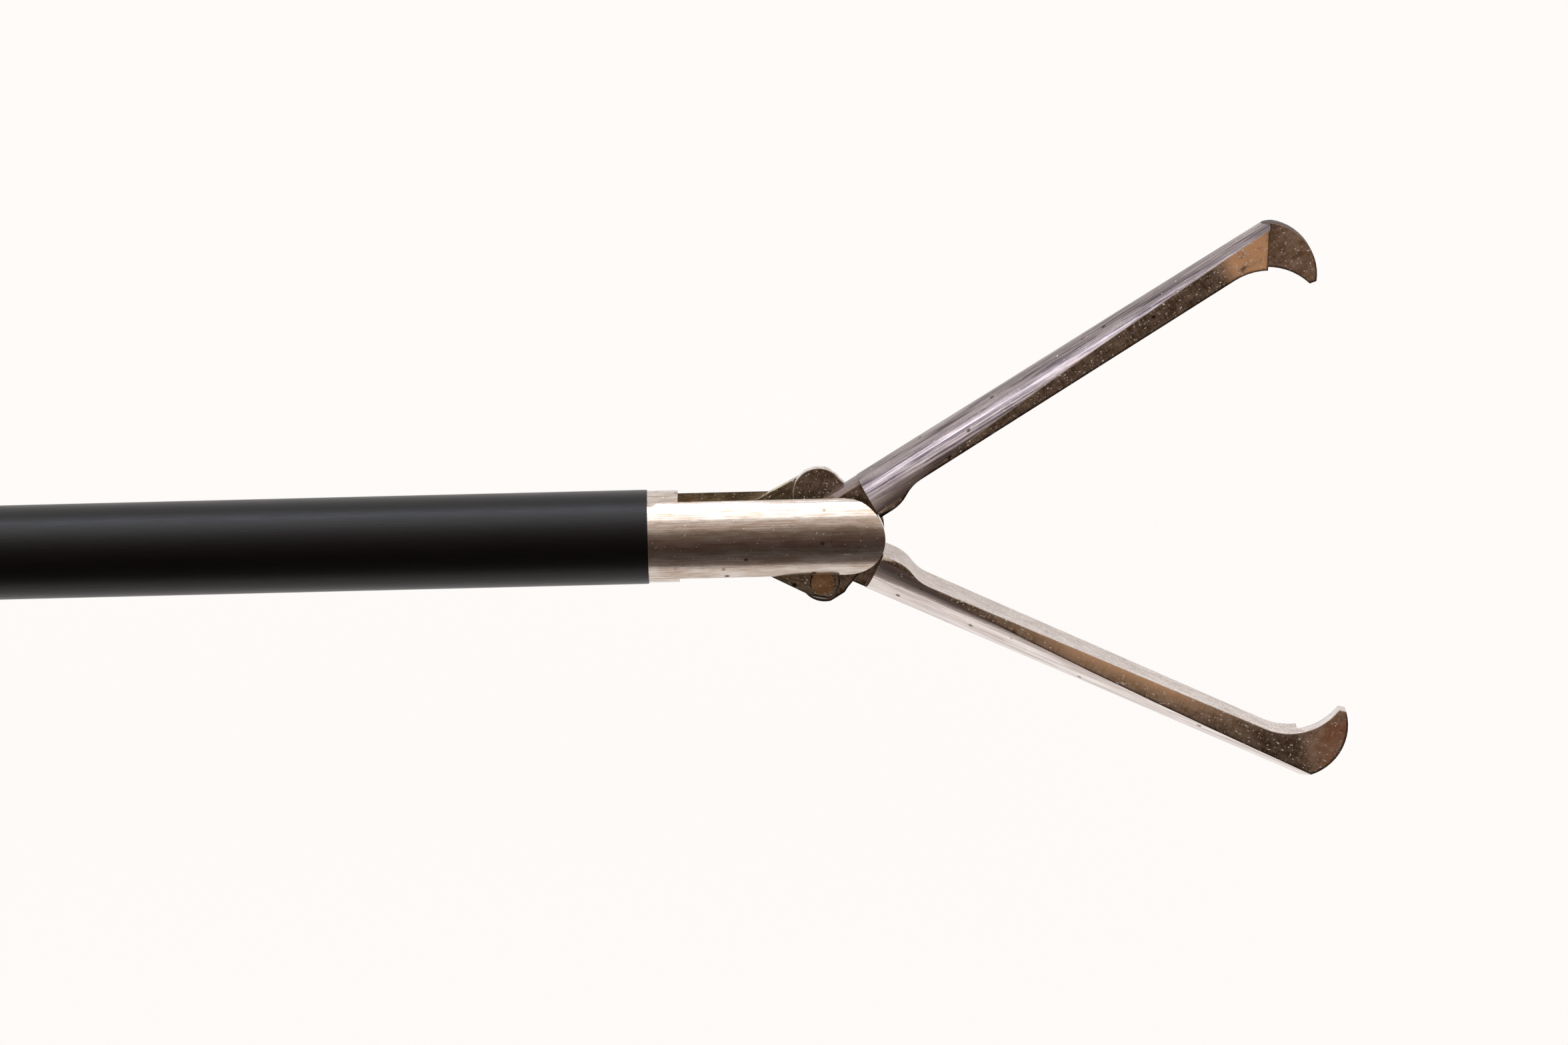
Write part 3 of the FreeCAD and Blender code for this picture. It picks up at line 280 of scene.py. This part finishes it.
polished = stainless(
    "turned_and_polished_stainless", "#dad2cb", "#b09c8c", (0.10, 0.22), (3.0, 0.06, 0.06), 0.003, 0.06, 0.55,
    "#4a2018")
ground = stainless("ground_flat_stainless", "#d6c8b0", "#8a7a62", (0.26, 0.4), (0.7, 0.10, 0.7), 0.003)
print(polished.name, ground.name)

# %% [markdown]
# ## Working on a copy of a solid
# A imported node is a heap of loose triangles. A copy has its doubles merged and its flat faces dissolved back
# into whole ones, and then the usual edge tools work on it. When it is done, it rides on the node's body and
# stands for the node, which stays in the physics model.

# %% Copy a solid
def only(piece):
    """Deselects everything else and makes one object active."""
    bpy.ops.object.select_all(action="DESELECT")
    piece.select_set(True)
    bpy.context.view_layer.objects.active = piece


def copy_of(node, name):
    piece = bpy.data.objects.new(name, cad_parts[node].data.copy())
    piece.data.materials.clear()
    bpy.context.scene.collection.objects.link(piece)
    only(piece)
    bpy.ops.mesh.customdata_custom_splitnormals_clear()
    bpy.ops.object.mode_set(mode="EDIT")
    bpy.ops.mesh.select_all(action="SELECT")
    bpy.ops.mesh.remove_doubles(threshold=0.001 * MM)
    bpy.ops.mesh.dissolve_limited(angle_limit=math.radians(0.4))
    bpy.ops.object.mode_set(mode="OBJECT")
    return piece


def stand_for(piece, node, body):
    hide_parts(node)
    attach(piece, body)
    print(piece.name, len(piece.data.polygons), "faces")


print(len(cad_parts), "solids to dress")

# %% [markdown]
# ## Soft edges
# Real edges are never perfectly sharp: the thin bright line along each one is its tiny chamfer catching the
# light. We select the sharp edges, leave out those that should stay crisp, and bevel the rest. Weighted
# normals then keep the flat faces flat and let only the bevel turn.

# %% Soften and smooth
def soften(piece, width, wanted=lambda middle: True, above=28, segments=2, shortest=0.0, clamp=True):
    """Bevels the sharp edges whose middle in mm is wanted and that are longer than the shortest in mm."""
    only(piece)
    bpy.ops.object.mode_set(mode="EDIT")
    bpy.ops.mesh.select_mode(type="EDGE")
    bpy.ops.mesh.select_all(action="DESELECT")
    bpy.ops.mesh.edges_select_sharp(sharpness=math.radians(above))
    bpy.ops.object.mode_set(mode="OBJECT")
    points = piece.data.vertices
    for edge in piece.data.edges:
        if edge.select:
            a, b = (points[i].co for i in edge.vertices)
            edge.select = wanted((a + b) / 2 / MM) and (a - b).length > shortest * MM
    bpy.ops.object.mode_set(mode="EDIT")
    bpy.ops.mesh.bevel(offset=width * MM, segments=segments, affect="EDGES", clamp_overlap=clamp)
    bpy.ops.object.mode_set(mode="OBJECT")


def smooth(piece):
    only(piece)
    bpy.ops.object.shade_smooth_by_angle(angle=math.radians(40))
    weights = piece.modifiers.new("flat faces first", "WEIGHTED_NORMAL")
    weights.keep_sharp = True
    bpy.ops.object.modifier_apply(modifier=weights.name)


print("edge tools ready")

# %% [markdown]
# ## The sleeve
# A tube this long needs few faces along it but many around it, so that its outline stays round in a close
# view. We add a cylinder with no caps, give it its wall with Solidify, and round the rim at both ends.

# %% Sleeve
sleeve_wall = 0.28 * MM
sleeve_low, sleeve_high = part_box("insulation_sleeve")
sleeve_radius = (sleeve_high.y - sleeve_low.y) / 2
bpy.ops.object.select_all(action="DESELECT")
bpy.ops.mesh.primitive_cylinder_add(
    vertices=96, radius=sleeve_radius, depth=sleeve_high.x - sleeve_low.x, end_fill_type="NOTHING",
    location=((sleeve_low.x + sleeve_high.x) / 2, 0, 0), rotation=(0, math.radians(90), 0))
sleeve = bpy.context.active_object
sleeve.name = "insulation_tube"
bpy.ops.object.transform_apply(location=True, rotation=True, scale=True)
wall = sleeve.modifiers.new("wall", "SOLIDIFY")
wall.thickness = sleeve_wall
wall.offset = -1
bpy.ops.object.modifier_apply(modifier="wall")
soften(sleeve, 0.05, above=60)
smooth(sleeve)
sleeve.data.materials.append(polyolefin)
stand_for(sleeve, "insulation_sleeve", "shaft")

# %% [markdown]
# ## The yoke
# The yoke carries the jaws between its two cheeks. Its outer edges are broken with a fine chamfer, but the
# ends of the pivot pin were ground flush with it, so that the hole's edge stays sharp and nearly unseen. The
# slot's two walls face each other and were left as the cutter ground them.

# %% Yoke
# All three are in mm: the pivot's place, how far the pin's rim reaches round it, and half the slot's width.
pivot = Vector((10.5, 0, 0))
pin_reach = 1.2
slot_reach = 1.6


def off_the_pin(middle):
    return (middle - pivot).xy.length > pin_reach


yoke = copy_of("yoke", "polished_yoke")
soften(yoke, 0.07, off_the_pin)
smooth(yoke)
yoke.data.materials.append(polished)
yoke.data.materials.append(ground)
for face in yoke.data.polygons:
    if abs(face.normal.z) > 0.9 and abs(face.center.z) < slot_reach * MM:
        face.material_index = 1
stand_for(yoke, "yoke", "shaft")

# %% [markdown]
# ## The jaws' heat tints
# The steel got hot while it was worked, and that left colour on the jaws' flat sides: straw where it was
# warm, brown where it was hotter. Each tint is a patch round a spot, given in mm from the pivot along the
# jaw and across it. The upper jaw's neck was blasted pale, and the lower jaw's tint runs along its inner rim.

# %% Heat tints
def patch(tree, place, spot, reach, share):
    """The share within a reach in mm of a spot of the jaw, with a ragged edge, and 0 away from it."""
    away = add(tree, "ShaderNodeVectorMath", {0: place, 1: Vector(spot) * MM}, operation="DISTANCE")
    near = add(tree, "ShaderNodeMapRange", {
        "Value": away, "From Min": reach * MM, "From Max": 0.5 * reach * MM, "To Max": share})
    ragged = add(tree, "ShaderNodeMapRange", {
        "Value": marks(tree, place, (0.8, 0.5, 0.5), 6.0, 0.7), "From Min": 0.32, "From Max": 0.46})
    return add(tree, "ShaderNodeMath", {0: near, 1: ragged}, operation="MULTIPLY")


def upper_tints(tree, place):
    """Straw behind the claw, a trace of it on the tip, and the pale neck."""
    parts = add(tree, "ShaderNodeSeparateXYZ", {0: place})
    above = add(tree, "ShaderNodeMapRange", {
        "Value": parts.outputs["Y"], "From Min": 1.84 * MM, "From Max": 1.92 * MM})
    begins = add(tree, "ShaderNodeMapRange", {
        "Value": parts.outputs["X"], "From Min": 0.2 * MM, "From Max": 0.6 * MM})
    ends = add(tree, "ShaderNodeMapRange", {
        "Value": parts.outputs["X"], "From Min": 3.0 * MM, "From Max": 2.6 * MM})
    neck = add(tree, "ShaderNodeMath", {0: above, 1: begins}, operation="MULTIPLY")
    neck = add(tree, "ShaderNodeMath", {0: neck, 1: ends}, operation="MULTIPLY")
    claw = patch(tree, place, (26.0, 1.2, 1.3), 2.2, 0.92)
    tip = patch(tree, place, (28.2, -0.5, -0.6), 3.4, 0.28)
    straw = add(tree, "ShaderNodeMath", {0: claw, 1: tip}, operation="MAXIMUM")
    tinted = add(tree, "ShaderNodeMath", {0: straw, 1: neck}, operation="MAXIMUM")
    return tinted, add(tree, "ShaderNodeMix", {0: neck, 6: "#f4ba88", 7: "#dccccb"}, data_type="RGBA")


def lower_tints(tree, place):
    """Straw along the inner rim, and brown on the claw."""
    parts = add(tree, "ShaderNodeSeparateXYZ", {0: place})
    inner = add(tree, "ShaderNodeMapRange", {
        "Value": parts.outputs["Y"], "From Min": -1.8 * MM, "From Max": -0.7 * MM})
    begins = add(tree, "ShaderNodeMapRange", {
        "Value": parts.outputs["X"], "From Min": 7 * MM, "From Max": 14 * MM})
    ends = add(tree, "ShaderNodeMapRange", {
        "Value": parts.outputs["X"], "From Min": 25 * MM, "From Max": 19 * MM})
    rim = add(tree, "ShaderNodeMath", {0: inner, 1: begins}, operation="MULTIPLY")
    rim = add(tree, "ShaderNodeMath", {0: rim, 1: ends}, operation="MULTIPLY")
    claw = patch(tree, place, (29.0, 0.4, 0.6), 3.0, 0.8)
    tinted = add(tree, "ShaderNodeMath", {0: rim, 1: claw}, operation="MAXIMUM")
    return tinted, add(tree, "ShaderNodeMix", {0: claw, 6: "#ecbc90", 7: "#8a4628"}, data_type="RGBA")


print("heat tints ready")

# %% [markdown]
# ## A finish for each face of a jaw
# Both jaws are the same forging turned over. Each face of it gets the finish of the step that made it: the
# round back is drawn and polished along its length, the flat sides are ground, the gripping face is blasted.
# The back of the claw gets a dark steel instead, which is painted shade.

# %% Faces of a jaw
claw_from = 25.6  # mm along the jaw from its pivot
# Dark steel that paints shade on the back of the claw.
claw_shade_steel = stainless("painted_shade_on_the_claw", "#5a463a", "#241812", (0.45, 0.6), (0.4, 0.1, 0.1), 0.003, 0.02)


def paint_jaw(piece, turn, side):
    """Gives each face its finish, by where it is and how it faces. The side is 1 for the upper jaw."""
    outward = Vector((-math.sin(turn), math.cos(turn), 0)) * side
    to_tip = Vector((math.cos(turn), math.sin(turn), 0))
    drawn, ground_flat, blasted, shaded_claw = range(4)
    for face in piece.data.polygons:
        on_claw = (face.center / MM - pivot).dot(to_tip) > claw_from
        if abs(face.normal.z) > 0.985:
            face.material_index = ground_flat
        elif face.normal.dot(outward) < -0.8:
            face.material_index = blasted
        # The claw's outer faces get painted shade.
        elif on_claw and face.normal.dot(outward) > 0:
            face.material_index = shaded_claw
        else:
            face.material_index = drawn


print(claw_shade_steel.name)

# %% [markdown]
# ## The jaws
# The two jaws stand open at different angles, by the play in their rivets. Each finish is turned with its
# jaw. The backs get different colours of one steel, a painted reflection: grey on the upper one, which mirrors
# a dark room, and pale on the lower one, which is also smoother.

# %% Jaws
# The pale and dark colours of each back are a painted reflection: grey on the upper jaw, pale on the lower.
for which, opening, side, pale, dark, rough, tints in (
        ("upper", 31, 1, "#aea2a0", "#50464c", (0.28, 0.44), upper_tints),
        ("lower", -25, -1, "#f2eae6", "#c2b4b0", (0.14, 0.3), lower_tints)):
    jaw = copy_of(which + "_jaw", which + "_claw_jaw")
    soften(jaw, 0.11, segments=3)
    smooth(jaw)
    turn = math.radians(opening)
    jaw.data.materials.append(stainless(
        which + "_drawn_stainless_with_painted_reflection", pale, dark, rough, (7.0, 0.09, 0.09), 0.004, 0.06,
        turn=turn, centre=pivot))
    # The ground finish paints a highlight on the jaw's edges that face up and a line of shade on those that
    # face down.
    jaw.data.materials.append(stainless(
        which + "_ground_stainless_with_painted_edges", "#dcc8b4", "#7c6a56", (0.25, 0.4), (0.09, 0.7, 0.7), 0.003, 0.12,
        turn=turn, centre=pivot, tints=tints, edge=0.2, painted_highlight_reach=0.1))
    jaw.data.materials.append(stainless(
        which + "_blasted_stainless", "#e2dad4", "#b8aca4", (0.42, 0.55), (0.09, 0.09, 0.09), 0.006, 0.16,
        0.22, "#5c4c44", turn=turn, centre=pivot))
    jaw.data.materials.append(claw_shade_steel)
    paint_jaw(jaw, turn, side)
    stand_for(jaw, which + "_jaw", which + "_jaw_body")

# %% [markdown]
# ## Links and rivets
# The two links were cut from plate and ground flat. Each rivet's end was dressed level with its link, and the
# heat of that left it copper-brown. The rivets' solids are right as they are and only get the finish.

# %% Links and rivets
for node, body, turn in (("near_link", "near_link_set", -27), ("far_link", "far_link_set", 27)):
    link = copy_of(node, "ground_" + node)
    soften(link, 0.05)
    smooth(link)
    # The link's ground finish paints a line of shade along its edges that face down and right.
    link.data.materials.append(stainless(
        node + "_ground_stainless_with_painted_edges", "#d6c8b0", "#85765c", (0.26, 0.4), (0.7, 0.10, 0.7), 0.003, 0.12,
        turn=math.radians(turn), edge=0.12))
    stand_for(link, node, body)
dressed = stainless(
    "dressed_rivet_stainless", "#ffd8ac", "#c89a70", (0.25, 0.4), (0.3, 0.1, 0.1), 0.003, 0.12)
for node in ("near_link_rivet", "far_link_rivet"):
    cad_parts[node].data.materials.clear()
    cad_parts[node].data.materials.append(dressed)
print(dressed.name)

# %% [markdown]
# ## The moulded plastics
# The handle's shells, the lever, the trigger and the knob are injection-moulded from black nylon filled with
# glass. The mould's spark-eroded walls leave a fine matt grain, and handling a wide haze. The rod's seal is
# moulded silicone, grey, dull and a little lighter in its gloss.

# %% Moulded nylon and silicone
def moulded(name, deep, pale, rough, grain_size, index):
    material, tree = new_material(name)
    place = place_on(tree)
    grain = marks(tree, place, (grain_size, grain_size, grain_size))
    haze = marks(tree, place, (9, 9, 9), 3.0)
    colour = add(tree, "ShaderNodeMix", {0: haze, 6: deep, 7: pale}, data_type="RGBA")
    gloss = add(tree, "ShaderNodeMapRange", {
        "Value": haze, "From Min": 0.3, "From Max": 0.7, "To Min": rough[0], "To Max": rough[1]})
    depth = 0.08 * grain_size
    bump = add(tree, "ShaderNodeBump", {"Height": grain, "Strength": 0.5, "Distance": depth * MM})
    shader = add(tree, "ShaderNodeBsdfPrincipled", {
        "Base Color": colour, "Roughness": gloss, "Normal": bump, "IOR": index})
    add(tree, "ShaderNodeOutputMaterial", {"Surface": shader})
    return material


nylon = moulded("moulded_black_nylon", "#17181a", "#232426", (0.42, 0.55), 0.25, 1.53)
lever_nylon = moulded("moulded_grey_black_nylon", "#1c1d1f", "#292a2c", (0.38, 0.5), 0.25, 1.53)
silicone = moulded("moulded_grey_silicone", "#7c7f82", "#8c9092", (0.6, 0.7), 0.12, 1.41)
print(nylon.name, lever_nylon.name, silicone.name)

# %% [markdown]
# ## The handle
# Nothing moulded has a sharp edge: where the two shells meet, their rounded edges make the narrow groove that
# we know as the seam. The lever's rings and limb get the largest radius, because fingers hold them. Its fork,
# less than 12 mm below the shaft, stays as it is, since the rod runs through it with little room.

# %% Moulded parts
fork_low = -12  # mm, where the fork and its hub end


def dress(node, body, slot, width, material, segments=3, **which_edges):
    """A copy of a node with soft edges and a finish, which stands for it."""
    piece = copy_of(node, "soft_" + node)
    soften(piece, width, segments=segments, **which_edges)
    smooth(piece)
    piece.data.materials.append(material)
    stand_for(piece, node, body)


dress("rotation_knob", "shaft", "black_plastic", 0.3, nylon)
for node in ("near_shell", "far_shell"):
    dress(node, "handle", "black_plastic", 0.4, nylon, shortest=0.9, clamp=False)
dress("thumb_lever", "lever", "black_plastic", 0.8, lever_nylon, shortest=0.9, clamp=False,
      wanted=lambda middle: middle.y < fork_low)
dress("release_trigger", "trigger", "black_plastic", 0.4, lever_nylon)
dress("rod_seal", "shaft", "seal_rubber", 0.1, silicone, 2)

# %% [markdown]
# ## The metal in the handle
# Pins, screws and the post for the lead were turned on a lathe, so that their fine strokes run round them.
# The ratchet's bar was ground flat. A short chamfer on each of them catches a line of light. What hardly
# shows, or is round all over, keeps its solid and only gets the finish.

# %% Turned and ground parts
turned = stainless("turned_stainless", "#cfc8c2", "#b0a69c", (0.18, 0.3), (0.08, 2.0, 2.0), 0.0008, 0.0)
for node, body, width in (("shell_screws", "handle", 0.12), ("lever_pivot_pin", "handle", 0.2),
                          ("trigger_pin", "handle", 0.15), ("current_post", "handle", 0.3),
                          ("swivel_collar", "shaft", 0.15), ("knob_set_screw", "shaft", 0.1)):
    dress(node, body, "steel", width, turned, 2)
dress("ratchet_bar", "lever", "steel", 0.08, ground, 2)
plain_finishes = {
    "outer_tube": turned, "drive_rod": turned, "rod_ball": turned, "rod_pin": turned,
    "trigger_spring": turned, "rod_tip": ground, "jaw_pivot_pin": polished,
}
for node, material in plain_finishes.items():
    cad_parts[node].data.materials.clear()
    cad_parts[node].data.materials.append(material)
print(len(plain_finishes), "solids with a finish alone")

# %% [markdown]
# ## The paper
# The instrument lies on white paper. In a photograph such paper is pure white, and more light would burn the
# steel out long before the paper got there. So the lens, and whatever mirrors the paper, see it nearly as
# bright as white itself, and only a small share of its real shading is left, which carries the shadow.

# %% Floor
bpy.ops.object.select_all(action="DESELECT")
bpy.ops.mesh.primitive_plane_add(size=6, location=(0, 0, cad_low.z))
floor = bpy.context.active_object
floor.name = "floor"
bpy.ops.object.transform_apply(location=True, rotation=True, scale=True)


def paper():
    material, tree = new_material("white_paper")
    path = add(tree, "ShaderNodeLightPath")
    seen = add(tree, "ShaderNodeMath", {
        0: path.outputs["Is Camera Ray"], 1: path.outputs["Is Glossy Ray"]}, operation="ADD")
    seen = add(tree, "ShaderNodeMath", {
        0: seen, 1: path.outputs["Is Transmission Ray"]}, operation="ADD", use_clamp=True)
    white_share = add(tree, "ShaderNodeMath", {0: seen, 1: 0.95}, operation="MULTIPLY")
    sheet = add(tree, "ShaderNodeBsdfDiffuse", {"Color": "#efebe8"})
    glow = add(tree, "ShaderNodeEmission", {"Color": "#fffcfa", "Strength": 1.02})
    both = add(tree, "ShaderNodeMixShader", {0: white_share, 1: sheet, 2: glow})
    add(tree, "ShaderNodeOutputMaterial", {"Surface": both})
    return material


floor.data.materials.append(paper())
print(floor.name, "at", round(cad_low.z / MM, 1), "mm")

# %% [markdown]
# ## The room
# Polished steel is a mirror, so what stands round it matters more than the lamps do. A round bar along X
# mirrors what lies all round it and hardly anything beyond its ends, so the room is painted by its bearing
# about X alone. A bearing is in degrees from straight above, towards the instrument's upper side. The room is
# dark brown overhead, where the photographer and the camera are, and white all round.

# %% Room
stops = [
    (-180, "#fbf7f4"), (-78, "#f4edea"), (-72, "#7c716b"), (-52, "#665e5b"), (-41, "#544e48"),
    (-25, "#4e433e"), (-10, "#5a4b45"), (0, "#6b5d55"), (12, "#807369"), (20, "#9a8f86"),
    (28, "#c8bab0"), (40, "#ece1da"), (52, "#fdfbf9"), (180, "#fbf7f4"),
]
world = bpy.data.worlds.new("studio")
world.use_nodes = True
bpy.context.scene.world = world
tree = world.node_tree
tree.nodes.clear()
direction = add(tree, "ShaderNodeTexCoord")
parts = add(tree, "ShaderNodeSeparateXYZ", {0: direction.outputs["Generated"]})
bearing = add(tree, "ShaderNodeMath", {0: parts.outputs["Y"], 1: parts.outputs["Z"]}, operation="ARCTAN2")
turn_share = add(tree, "ShaderNodeMapRange", {"Value": bearing, "From Min": -math.pi, "From Max": math.pi})
room = add(tree, "ShaderNodeValToRGB", {"Fac": turn_share})
ramp = room.color_ramp
while len(ramp.elements) < len(stops):
    ramp.elements.new(0.5)
# The ramp sorts its stops by their place, so all of them are placed before any gets its colour.
for element, (degrees, _) in zip(ramp.elements, stops):
    element.position = degrees / 360 + 0.5
for element, (_, code) in zip(ramp.elements, stops):
    element.color = linear(code)
sky = add(tree, "ShaderNodeBackground", {"Color": room.outputs["Color"], "Strength": 1.0})
add(tree, "ShaderNodeOutputWorld", {"Surface": sky})
print(len(stops), "bearings painted")

# %% [markdown]
# ## The window
# One large soft window stands beyond the instrument's upper side and gives the steel its white bands. A
# narrow pane of it is open, brighter and a little bluer, and draws the soft line along the black sleeve. A
# face of radiance L and area A gives a power of pi * L * A watts, so a light is set by how bright it looks.

# %% Window and pane
def soft_light(name, angle, distance, width, height, radiance, tint):
    """A soft box beside the instrument. The angle is from straight above towards +Y, in degrees."""
    lamp = bpy.data.lights.new(name, "AREA")
    lamp.shape = "RECTANGLE"
    lamp.size = width
    lamp.size_y = height
    lamp.energy = math.pi * radiance * width * height
    lamp.color = linear(tint)[:3]
    holder = bpy.data.objects.new(name, lamp)
    bpy.context.scene.collection.objects.link(holder)
    turn = math.radians(angle)
    out = Vector((0, math.sin(turn), math.cos(turn)))
    side = Vector((1, 0, 0))
    rise = out.cross(side)
    spot = Vector((-0.1, 0, 0)) + out * distance
    holder.matrix_world = Matrix((
        (side.x, rise.x, out.x, spot.x),
        (side.y, rise.y, out.y, spot.y),
        (side.z, rise.z, out.z, spot.z),
        (0, 0, 0, 1),
    ))
    print(name, round(lamp.energy, 2), "W")


soft_light("window", 80, 0.8, 1.4, 0.9, 1.28, "#fbfcff")
soft_light("open_pane", 86, 0.75, 1.4, 0.20, 3.8, "#dfe8ff")
